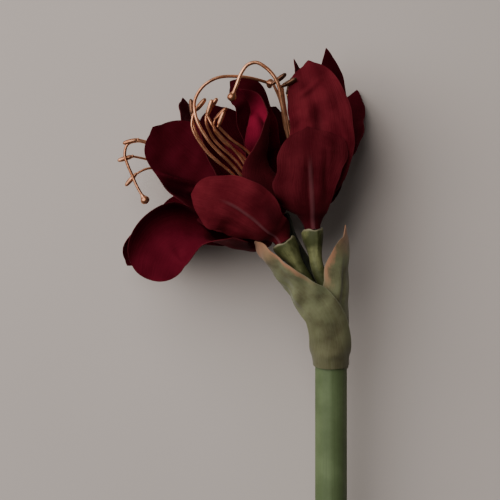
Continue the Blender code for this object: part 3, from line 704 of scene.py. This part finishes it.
def blade_points(growth, blade, u, v, seed):
    """The shaped blade: its flat cut laid along the midrib, cupped, ribbed, waved and creased.

    Also how far each point is from the midrib, its share of the length and how dark its painted shade is.
    """
    points, length, across, face = spine(growth, blade)
    x, share = flat_pattern(blade, length, u, v)
    free = ease(ramp(share, 0, blade.opens))
    cupped = np.radians(keyed(blade.cup, share)) / (blade.width * MM)
    angle = x * ((1 - free) / (blade.root_radius * MM) + free * cupped)
    across_by = x * np.sinc(angle / math.pi)
    lift = x * np.sin(angle / 2) * np.sinc(angle / 2 / math.pi)
    edge = ramp(np.abs(x), 0, blade.width / 2 * MM)
    swing = np.sin(2 * math.pi * WAVES * share + blade.phase + WAVE_LAG * (x > 0))
    lift = lift + blade.wave * MM * edge**2 * swing * ramp(share, *WAVE_GROWS)
    lift = lift - blade.rib * rib_welt(blade, x, share)
    hollows = cloth_uneven(x, share * length, seed)
    lift = lift + blade.uneven * MM * hollows * ramp(share, *UNEVEN_GROWS)
    # Painted shade of the whole blade, then painted shadow in each crease, kept as the share of cloth left
    # lit
    unshaded = np.full(len(x), 1 - blade.painted_shade)
    for crease in blade.creases:
        reach = crease_reach(crease, x, share * length, length)
        lift = lift + crease.height * MM * reach
        # Painted shadow in the crease
        unshaded = unshaded * (1 - crease.painted_shadow * reach)
    even = np.linspace(0, 1, len(points))
    middle, sideways, up = (rows_at(share, even, rows) for rows in (points, across, face))
    return middle + across_by[:, None] * sideways + lift[:, None] * up, x, share, 1 - unshaded


def in_place(points):
    """Points of the flower's frame, laid down with it."""
    return points @ np.array(LIE.to_3x3()).T + np.array(LIE.translation)


def store(mesh, name, values):
    """Keeps one number for each corner point, for the materials to read."""
    numbers = mesh.attributes.new(name, "FLOAT", "POINT")
    numbers.data.foreach_set("value", np.asarray(values, np.float32))


def add_object(name, data):
    obj = bpy.data.objects.new(name, data)
    bpy.context.scene.collection.objects.link(obj)
    return obj


def make_piece(name, mesh, node):
    """A finished piece that rides on the flower and stands for a node of the frame."""
    mesh.name = name
    mesh.shade_smooth()
    mesh.set_sharp_from_angle(angle=SHARP_FROM)
    obj = add_object(name, mesh)
    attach(obj, "root")
    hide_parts(node)


def sheet_mesh(name, growth, blade, columns, seed):
    """A grid of triangles bent into the blade, with the numbers that its materials read."""
    work = bmesh.new()
    bmesh.ops.create_grid(work, x_segments=columns, y_segments=PETAL_ROWS, size=1)
    flat = np.array([vert.co for vert in work.verts])
    u, v = flat[:, 0], (flat[:, 1] + 1) / 2
    points, across, share, painted_shade = blade_points(growth, blade, u, v, seed)
    for vert, point in zip(work.verts, in_place(points)):
        vert.co = point
    bmesh.ops.triangulate(work, faces=work.faces)
    mesh = bpy.data.meshes.new(name)
    work.to_mesh(mesh)
    work.free()
    store(mesh, "edge", u)
    store(mesh, "rib", blade.rib * rib_band(blade, across, share))
    store(mesh, "share", share)
    # Painted shade, for the petal materials to read
    store(mesh, "painted_shade", painted_shade)
    store(mesh, "blush", np.full(len(u), blade.blush))
    return mesh


def make_blade(name, growth, blade, columns, seed, materials, node):
    """A blade as a thin sheet of cloth. Its outer face takes the first material."""
    mesh = sheet_mesh(name, growth, blade, columns, seed)
    for material in materials:
        mesh.materials.append(material)
    sheet = add_object(name + "_sheet", mesh)
    thick = sheet.modifiers.new("thickness", "SOLIDIFY")
    thick.thickness = CLOTH
    thick.offset = 0
    thick.material_offset = 1
    bpy.context.view_layer.update()
    cloth = bpy.data.meshes.new_from_object(sheet.evaluated_get(bpy.context.evaluated_depsgraph_get()))
    bpy.data.objects.remove(sheet)
    make_piece(name, cloth, node)


def carried_ways(points):
    """Two ways across a path at each of its points, which turn as little as they can along it."""
    along = unit(np.gradient(points, axis=0))
    side = np.cross(along[0], AHEAD if abs(along[0][1]) < ROD_LEAN else UP)
    sides = []
    for way in along:
        side = square_to(way, side)
        sides.append(side)
    return np.array(sides), np.cross(along, sides)


def loft_mesh(name, centres, first, second, radii):
    """A closed skin over rings. radii has a row for each, and first and second are the ways they lie in."""
    rings, sides = radii.shape
    angle = ring_angles(sides)
    first, second = (np.broadcast_to(way, centres.shape)[:, None] for way in (first, second))
    rounds = (
        centres[:, None]
        + radii[:, :, None] * np.cos(angle)[None, :, None] * first
        + radii[:, :, None] * np.sin(angle)[None, :, None] * second
    )
    points = np.concatenate([rounds.reshape(-1, 3), centres[:1], centres[-1:]])
    last = (rings - 1) * sides
    faces = []
    for row in range(0, last, sides):
        for j in range(sides):
            k = (j + 1) % sides
            faces.append((row + j, row + k, row + sides + k, row + sides + j))
    for j in range(sides):
        k = (j + 1) % sides
        faces.append((rings * sides, k, j))
        faces.append((rings * sides + 1, last + j, last + k))
    mesh = bpy.data.meshes.new(name)
    mesh.from_pydata(in_place(points).tolist(), [], faces)
    share = np.repeat(np.linspace(0, 1, rings), sides)
    store(mesh, "share", np.concatenate([share, [0, 1]]))
    store(mesh, "around", np.concatenate([np.tile(angle, rings), [0, 0]]))
    return mesh


def joined(name, meshes):
    """One mesh of several."""
    work = bmesh.new()
    for mesh in meshes:
        work.from_mesh(mesh)
        bpy.data.meshes.remove(mesh)
    whole = bpy.data.meshes.new(name)
    work.to_mesh(whole)
    work.free()
    return whole


def rod_mesh(points, radius):
    """A thin rod that tapers a little towards its end and is slightly flat."""
    first, second = carried_ways(points)
    taper = np.linspace(*FILAMENT_TAPER, len(points))[:, None]
    flat = 1 + FILAMENT_FLATNESS * np.cos(2 * ring_angles(FILAMENT_SIDES))
    return loft_mesh("rod", points, first, second, radius * taper * flat)


def bead_mesh(kind, centre, way, shape=None):
    """A turned part of a stamen that points along way. shape changes its radii by angle."""
    sides, profile = BEADS[kind]
    way = unit(way)
    steps = np.linspace(0, 1, BEAD_RINGS)
    run = keyed(profile, steps) * MM
    first = unit(np.cross(UP if abs(way[2]) < BEAD_LEAN else AHEAD, way))
    radii = np.maximum(run[:, 1:], 0) * np.ones(sides)
    if shape is not None:
        radii = radii * shape(ring_angles(sides), steps)
    return loft_mesh(kind, centre + run[:, :1] * way, first, np.cross(way, first), radii)


def anther_shape(angle, steps):
    """Two lobes with a furrow between them along one side."""
    furrow = np.exp(-((np.sin(angle) / FURROW_WIDTH) ** 2)) * (0.5 + 0.5 * np.cos(angle))
    return 1 - FURROW_DEPTH * furrow * np.sin(math.pi * steps)[:, None] ** 0.5


def open_stigma(end, way):
    """A neck and the lobes that spread from it."""
    first = unit(np.cross(way, UP))
    second = np.cross(way, first)
    parts = [bead_mesh("neck", end, way)]
    for k in range(STIGMA_LOBES):
        turn = 2 * math.pi * k / STIGMA_LOBES + LOBE_TURN
        lean = way + LOBE_SPREAD * (math.cos(turn) * first + math.sin(turn) * second)
        parts.append(bead_mesh("lobe", end + way * LOBE_START, lean))
    return parts


def filament_end(filament, end, way):
    """What a rod ends in: the style in its stigma, and a stamen in an anther on a collar."""
    if filament.knob == "lobed":
        return open_stigma(end, way)
    if filament.knob == "round":
        return [bead_mesh("knob", end, way)]
    collar = bead_mesh("collar", end - way * COLLAR_BACK, way)
    return [collar, bead_mesh("anther", end, filament.anther, anther_shape)]


def make_stamen(name, growth, filament, material, node):
    """One filament with its anther, or the style with its stigma."""
    base, axis = growth.frame()
    start = base + axis * CORE_LENGTH + outward(growth, filament.path[0]) * FILAMENT_INSET
    route = np.concatenate([[start], np.array(filament.path) * MM])
    points = even_curve(route, math.ceil(step_lengths(route).sum() / FILAMENT_STEP) + 1)
    parts = [rod_mesh(points, STYLE_RADIUS if filament.knob else FILAMENT_RADIUS)]
    parts.extend(filament_end(filament, points[-1], unit(points[-1] - points[-2])))
    for number, part in enumerate(parts):
        store(part, "ripe", np.full(len(part.vertices), filament.ripe * (number > 0)))
    whole = joined(name, parts)
    whole.materials.append(material)
    make_piece(name, whole, node)


def receptacle_shape(angle, depth):
    """Three broad lobes with a narrow raised seam on each, which fade out down the stalk."""
    lobes = 1 + LOBE_DEPTH * np.cos(SEAMS * angle)
    for k in range(SEAMS):
        turn = (angle - 2 * math.pi * k / SEAMS + math.pi) % (2 * math.pi) - math.pi
        lobes = lobes + SEAM_HEIGHT * np.exp(-((turn / SEAM_WIDTH) ** 2))
    return 1 + (lobes - 1) * ease(ramp(depth, RECEPTACLE, LOBES_FULL * RECEPTACLE))[:, None]


def seam_ways(axis, stalk, cup, seam_turn):
    """Two ways across each ring of a stalk and its receptacle. The first one points to a seam."""
    front = square_to(axis, UP)
    turn = math.radians(seam_turn)
    seam = front * math.cos(turn) + np.cross(axis, front) * math.sin(turn)
    along = unit(np.gradient(np.concatenate([stalk, cup[:1]]), axis=0))[:-1]
    along = np.concatenate([along, np.tile(axis, (len(cup), 1))])
    first = square_to(along, seam)
    return first, np.cross(along, first)


def wave_rim(mesh, axis, angle, near):
    """Lifts and lowers a receptacle's rim in waves. near is how close to the rim each point is, 0 to 1."""
    around = np.resize(angle, len(near))
    wavy = RIM_WAVE * np.cos(SEAMS * around + math.pi) + RIM_RIPPLE * np.sin(RIM_RIPPLES * around)
    up = np.array(LIE.to_3x3()) @ axis
    for vert, by in zip(mesh.vertices, near * wavy):
        vert.co += Vector(up * by)
    store(mesh, "rim", near)


def make_pedicel(name, bloom, material, node):
    """A stalk that widens into a ribbed receptacle with a thin wavy rim round a shallow cup."""
    base, axis = bloom.growth.frame()
    turn = math.radians(bloom.foot_turn)
    start = np.array((PEDICEL_RING * math.sin(turn), STEM_TOP + PEDICEL_GAP, PEDICEL_RING * math.cos(turn)))
    foot = base - axis * RECEPTACLE
    route = [start, start + (0, PEDICEL_RISE, 0), foot, foot + axis * PEDICEL_RADIUS]
    stalk = even_curve(route, PEDICEL_STEPS)[:-1]
    depths, widths = np.array(RECEPTACLE_PROFILE).T * MM
    cup = base - axis * depths[:, None]
    first, second = seam_ways(axis, stalk, cup, bloom.seam_turn)
    swollen = PEDICEL_RADIUS + bloom.girth * (widths - PEDICEL_RADIUS)
    depth = np.concatenate([np.full(len(stalk), RECEPTACLE), depths])
    radius = np.concatenate([np.full(len(stalk), PEDICEL_RADIUS), swollen])
    angle = ring_angles(RECEPTACLE_SIDES)
    radii = radius[:, None] * receptacle_shape(angle, depth)
    mesh = loft_mesh(name, np.concatenate([stalk, cup]), first, second, radii)
    near = np.repeat(np.exp(-depth / RIM_FALL), RECEPTACLE_SIDES)
    wave_rim(mesh, axis, angle, np.concatenate([near, [0, 0]]))
    mesh.materials.append(material)
    make_piece(name, mesh, node)


def make_stem(name, material):
    """The thick scape: nearly round, faintly ridged, with soft ends."""
    turn = np.linspace(0, math.pi / 2, EASE_RINGS)
    rise = STEM_EASE * (1 - np.cos(turn))
    inset = STEM_EASE * (1 - np.sin(turn))
    middle = np.linspace(STEM_FOOT + STEM_END, STEM_TOP - STEM_END, STEM_ROWS)
    run = np.concatenate([STEM_FOOT + rise, middle, STEM_TOP - rise[::-1]])[:, None]
    ends = np.concatenate([inset, np.zeros(STEM_ROWS), inset[::-1]])[:, None]
    angle = ring_angles(STEM_SIDES)
    ridges = sum(share * np.cos(count * angle + shift) for count, share, shift in STEM_RIDGES)
    radii = STEM_RADIUS - ends + STEM_RIDGE * (ridges - 1)
    mesh = loft_mesh(name, run * AHEAD, UP, RIGHT, radii)
    mesh.materials.append(material)
    make_piece(name, mesh, "stem")


def add(tree, kind, inputs=(), **settings):
    """A node with its settings. inputs are pairs of a socket and its value, or the output that feeds it."""
    made = tree.nodes.new(kind)
    for key, value in settings.items():
        setattr(made, key, value)
    for socket, value in inputs:
        if isinstance(value, bpy.types.NodeSocket):
            tree.links.new(value, made.inputs[socket])
        else:
            made.inputs[socket].default_value = value
    return made


def layer(tree, name):
    return add(tree, "ShaderNodeAttribute", attribute_name=name).outputs["Fac"]


def maths(tree, operation, a, b=0.0):
    return add(tree, "ShaderNodeMath", [(0, a), (1, b)], operation=operation).outputs[0]


def times(tree, a, b):
    return maths(tree, "MULTIPLY", a, b)


def between(tree, value, low, high, start=0.0, end=1.0):
    """value's place from low to high, as a number from start to end, eased."""
    sockets = [("Value", value), ("From Min", low), ("From Max", high), ("To Min", start), ("To Max", end)]
    return add(tree, "ShaderNodeMapRange", sockets, interpolation_type="SMOOTHSTEP").outputs["Result"]


def mixed(tree, share, first, second):
    """A colour between two others, each of them three numbers or another node's output."""
    first, second = (c if isinstance(c, bpy.types.NodeSocket) else (*c, 1) for c in (first, second))
    sockets = zip(MIX_INPUTS, (share, first, second))
    return add(tree, "ShaderNodeMix", sockets, data_type="RGBA").outputs[MIX_OUTPUT]


def noise(tree, place, scale, detail=3.0, roughness=0.55):
    sockets = [("Vector", place), ("Scale", scale), ("Detail", detail), ("Roughness", roughness)]
    return add(tree, "ShaderNodeTexNoise", sockets).outputs["Fac"]


def combined(tree, x, y, z):
    return add(tree, "ShaderNodeCombineXYZ", [("X", x), ("Y", y), ("Z", z)]).outputs[0]


def fibres(tree, edge, share, across, along, scale, seed):
    """A noise in fibres. across is its pace over a blade's half width, and along over its length."""
    return noise(tree, combined(tree, times(tree, edge, across), times(tree, share, along), seed), scale)


def edge_wear_and_sheen(tree, edge, most):
    """A blade's edge band, from 0 to most: pale wear on a valve, painted sheen on a tepal."""
    return between(tree, maths(tree, "ABSOLUTE", edge), EDGE_BAND_FROM, 1.0, end=most)


def bumped(tree, height, strength, distance, normal=None):
    sockets = [("Height", height), ("Strength", strength), ("Distance", distance)]
    if normal is not None:
        sockets.append(("Normal", normal))
    return add(tree, "ShaderNodeBump", sockets).outputs["Normal"]


def new_material(name, settings):
    """A new material with constants set on its shader, and its tree, shader and place in the frame."""
    made = bpy.data.materials.new(name)
    made.use_nodes = True
    tree = made.node_tree
    shader = tree.nodes["Principled BSDF"]
    for socket, value in settings.items():
        shader.inputs[socket].default_value = value
    return made, tree, shader, add(tree, "ShaderNodeTexCoord").outputs["Object"]


def feed(tree, shader, colour, grain, smoothest, roughest, normal):
    """Gives the shader its colour, a roughness that follows a fine noise, and its bumps."""
    rough = between(tree, grain, *GRAIN_RANGE, smoothest, roughest)
    for socket, value in (("Base Color", colour), ("Roughness", rough), ("Normal", normal)):
        tree.links.new(value, shader.inputs[socket])


def petal_material(name, light, deep, gloss, throat, seed, rib=None):
    """Matt burgundy cloth, blotched and finely veined along the tepal.

    throat is how much painted shade darkens it towards its root, and rib the colour of its midrib.
    Only the inner face, which has no rib, takes the blush: its magenta tint, and painted light where it is
    lit. Both faces take the painted shade of the tepal and its creases, and a painted sheen along its edge.
    """
    made, tree, shader, place = new_material(name, {
        "Sheen Weight": gloss, "Sheen Roughness": 0.4, "Sheen Tint": (0.6, 0.2, 0.24, 1),
        "Specular IOR Level": gloss,
    })
    edge, share = layer(tree, "edge"), layer(tree, "share")
    veins = fibres(tree, edge, share, across=26, along=5, scale=1.0, seed=seed)
    blotches = between(tree, noise(tree, place, 65, detail=5), 0.26, 0.66)
    colour = mixed(tree, blotches, deep, light)
    colour = mixed(tree, between(tree, veins, 0.3, 0.7, end=0.5), colour, deep)
    # Painted shade, darker towards the root where the bloom's throat lies deep
    colour = mixed(tree, between(tree, share, 0.45, 0.08, end=throat), colour, THROAT)
    # Magenta tint of the inner face, and painted light where it is lit
    if rib is None:
        colour = mixed(tree, layer(tree, "blush"), colour, MAGENTA)
    # Painted shade of the whole tepal and of its creases
    colour = mixed(tree, layer(tree, "painted_shade"), colour, PAINTED_SHADE_COLOUR)
    if rib is not None:
        colour = mixed(tree, times(tree, layer(tree, "rib"), 0.8), colour, rib)
    # Painted sheen in a greyer band along the edge
    colour = mixed(tree, edge_wear_and_sheen(tree, edge, 0.3), colour, PETAL_EDGE_SHEEN)
    nap = noise(tree, place, 1500, detail=2)
    creased = bumped(tree, noise(tree, place, 130), 0.3, 1.2 * MM)
    veined = bumped(tree, veins, 0.6, 0.5 * MM, creased)
    feed(tree, shader, colour, nap, 0.72, 0.92, bumped(tree, nap, 0.25, 0.12 * MM, veined))
    return made


def copper_material(name):
    """Satin copper paint, darker in patches and on ripe anthers."""
    made, tree, shader, place = new_material(name, {"Metallic": 0.85, "Specular IOR Level": 0.8})
    patches = between(tree, noise(tree, place, 70), 0.35, 0.65)
    stains = between(tree, noise(tree, place, 130, detail=2), 0.55, 0.75, end=0.4)
    colour = mixed(tree, patches, COPPER_DARK, COPPER)
    colour = mixed(tree, stains, colour, BRONZE)
    colour = mixed(tree, layer(tree, "ripe"), colour, BRONZE)
    grain = noise(tree, place, 900, detail=2)
    feed(tree, shader, colour, grain, 0.27, 0.33, bumped(tree, grain, 0.1, 0.05 * MM))
    return made


def stalk_material(name, light, dark, mottles, rim=None):
    """Moulded green stalk, streaked along its length and mottled. rim colours the edge of a receptacle."""
    made, tree, shader, place = new_material(name, {"Specular IOR Level": 0.3})
    around, share = layer(tree, "around"), layer(tree, "share")
    lines = combined(tree, maths(tree, "SINE", around), maths(tree, "COSINE", around), share)
    streaks = noise(tree, lines, 9)
    mottled = between(tree, noise(tree, place, mottles, detail=4), 0.35, 0.65)
    colour = mixed(tree, mottled, dark, light)
    colour = mixed(tree, between(tree, streaks, 0.35, 0.7, end=0.35), colour, dark)
    if rim is not None:
        colour = mixed(tree, between(tree, layer(tree, "rim"), 0.35, 0.9, end=0.8), colour, rim)
    grain = noise(tree, place, 700)
    ridged = bumped(tree, streaks, 0.3, 0.5 * MM)
    feed(tree, shader, colour, grain, 0.5, 0.68, bumped(tree, grain, 0.2, 0.12 * MM, ridged))
    return made


def spathe_material(name, rust_from, seed):
    """Sage cloth with threads along it, mottled brown, and rust along one edge and at its tip."""
    made, tree, shader, place = new_material(name, {
        "Sheen Weight": 0.2, "Sheen Roughness": 0.5, "Specular IOR Level": 0.25,
    })
    edge, share = layer(tree, "edge"), layer(tree, "share")
    threads = fibres(tree, edge, share, across=30, along=7, scale=1.3, seed=seed)
    clouds = noise(tree, place, 75, detail=5, roughness=0.6)
    colour = mixed(tree, between(tree, clouds, 0.22, 0.66), SPATHE_DARK, SPATHE_LIGHT)
    colour = mixed(tree, between(tree, share, 0.5, 0.1, end=0.55), colour, SPATHE_DARK)
    colour = mixed(tree, between(tree, threads, 0.35, 0.75, end=0.3), colour, SPATHE_PALE)
    ragged = maths(tree, "ADD", times(tree, edge, layer(tree, "blush")), times(tree, clouds, 0.7))
    ragged = maths(tree, "ADD", ragged, times(tree, threads, 0.3))
    rusty_side = between(tree, ragged, rust_from, rust_from + 0.25)
    colour = mixed(tree, times(tree, rusty_side, between(tree, share, 0.5, 0.72)), colour, RUST)
    colour = mixed(tree, edge_wear_and_sheen(tree, edge, 0.6), colour, SPATHE_PALE)
    tip = between(tree, maths(tree, "ADD", share, times(tree, clouds, 0.2)), 0.86, 1.1)
    colour = mixed(tree, tip, colour, RUST)
    creased = bumped(tree, clouds, 0.12, 0.8 * MM)
    threaded = bumped(tree, threads, 0.3, 0.4 * MM, creased)
    nap = noise(tree, place, 1200, detail=2)
    feed(tree, shader, colour, threads, 0.66, 0.86, bumped(tree, nap, 0.25, 0.12 * MM, threaded))
    return made


def make_bloom(number, side, bloom, cloth, copper, green):
    for k, blade in enumerate(bloom.tepals):
        blade.root_radius += WHORL_STEP * (k % 2)
        make_blade(
            f"tepal_{side}_{k}", bloom.growth, blade, PETAL_COLUMNS, BLOOM_SEEDS * number + k,
            cloth, f"bloom_{side}",
        )
    for k, filament in enumerate(bloom.filaments):
        kind = "style" if filament.knob else "stamen"
        make_stamen(f"{kind}_{side}_{k}", bloom.growth, filament, copper, f"stamens_{side}")
    make_pedicel(f"receptacle_{side}", bloom, green, f"pedicel_{side}")


def make_blooms():
    outer = petal_material("petal_outer", OUTER, OUTER_DEEP, gloss=0.06, throat=0.35, seed=1, rib=RIB_TINT)
    inner = petal_material("petal_inner", INNER, INNER_DEEP, gloss=0.02, throat=0.9, seed=5)
    copper = copper_material("stamen_copper")
    cup = stalk_material("receptacle_green", CUP_LIGHT, CUP_DARK, mottles=85, rim=CUP_RIM)
    shaded = stalk_material("pedicel_dark", SHADED_LIGHT, SHADED_DARK, mottles=120)
    for number, (side, bloom) in enumerate(BLOOMS.items()):
        make_bloom(number, side, bloom, [outer, inner], copper, shaded if side == "back" else cup)


def make_spathe():
    cloth = [
        spathe_material("spathe_outer", rust_from=1.15, seed=2),
        spathe_material("spathe_inner", rust_from=0.95, seed=7),
    ]
    for number, (side, valve) in enumerate(VALVES.items()):
        make_blade(
            f"valve_{side}", SPATHE, valve, VALVE_COLUMNS, VALVE_SEEDS + number,
            cloth, f"spathe_{side}",
        )


def make_floor():
    """A wide matt sheet of pale card under the flower."""
    bpy.ops.mesh.primitive_plane_add(size=FLOOR_SIZE, location=(0, 0, -FLOOR_DROP))
    floor = bpy.context.object
    floor.name = "floor"
    made, tree, shader, place = new_material("floor_card", {"Roughness": 0.9, "Specular IOR Level": 0.1})
    tone = between(tree, noise(tree, place, 3, detail=2), 0.3, 0.7)
    tree.links.new(mixed(tree, tone, FLOOR_COLOUR, FLOOR_SHADE), shader.inputs["Base Color"])
    floor.data.materials.append(made)


def make_lamp():
    """A soft square lamp that faces the blooms."""
    light = bpy.data.lights.new("key", "AREA")
    light.size = LAMP_SIZE
    light.energy = LAMP_POWER
    light.color = LAMP_COLOUR
    lamp = add_object("key", light)
    lamp.location = LIE @ Vector(LAMP_PLACE)
    way = LIE @ Vector(LAMP_TARGET) - lamp.location
    lamp.rotation_euler = way.to_track_quat("-Z", "Y").to_euler()


def make_world():
    world = bpy.data.worlds.new("studio")
    world.use_nodes = True
    inputs = world.node_tree.nodes["Background"].inputs
    inputs["Color"].default_value = (*WORLD_COLOUR, 1)
    inputs["Strength"].default_value = WORLD_STRENGTH
    bpy.context.scene.world = world


def make_camera():
    """Looks down on the flower, the way that the photograph does."""
    lens = bpy.data.cameras.new("camera")
    lens.lens = lens.sensor_width * EYE[2] / SEEN_WIDTH
    camera = add_object("camera", lens)
    camera.matrix_world = LIE @ Matrix.Translation(EYE)
    bpy.context.scene.camera = camera


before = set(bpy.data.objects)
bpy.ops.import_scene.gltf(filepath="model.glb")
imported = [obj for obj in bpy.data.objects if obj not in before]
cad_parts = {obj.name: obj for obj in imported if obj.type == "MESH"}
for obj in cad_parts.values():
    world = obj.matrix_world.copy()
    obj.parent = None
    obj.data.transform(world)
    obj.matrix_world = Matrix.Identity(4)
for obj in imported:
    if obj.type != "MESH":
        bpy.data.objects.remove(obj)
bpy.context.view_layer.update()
make_camera()
make_blooms()
make_spathe()
make_stem("scape", stalk_material("stem_green", STALK_LIGHT, STALK_DARK, mottles=38))
make_floor()
make_lamp()
make_world()
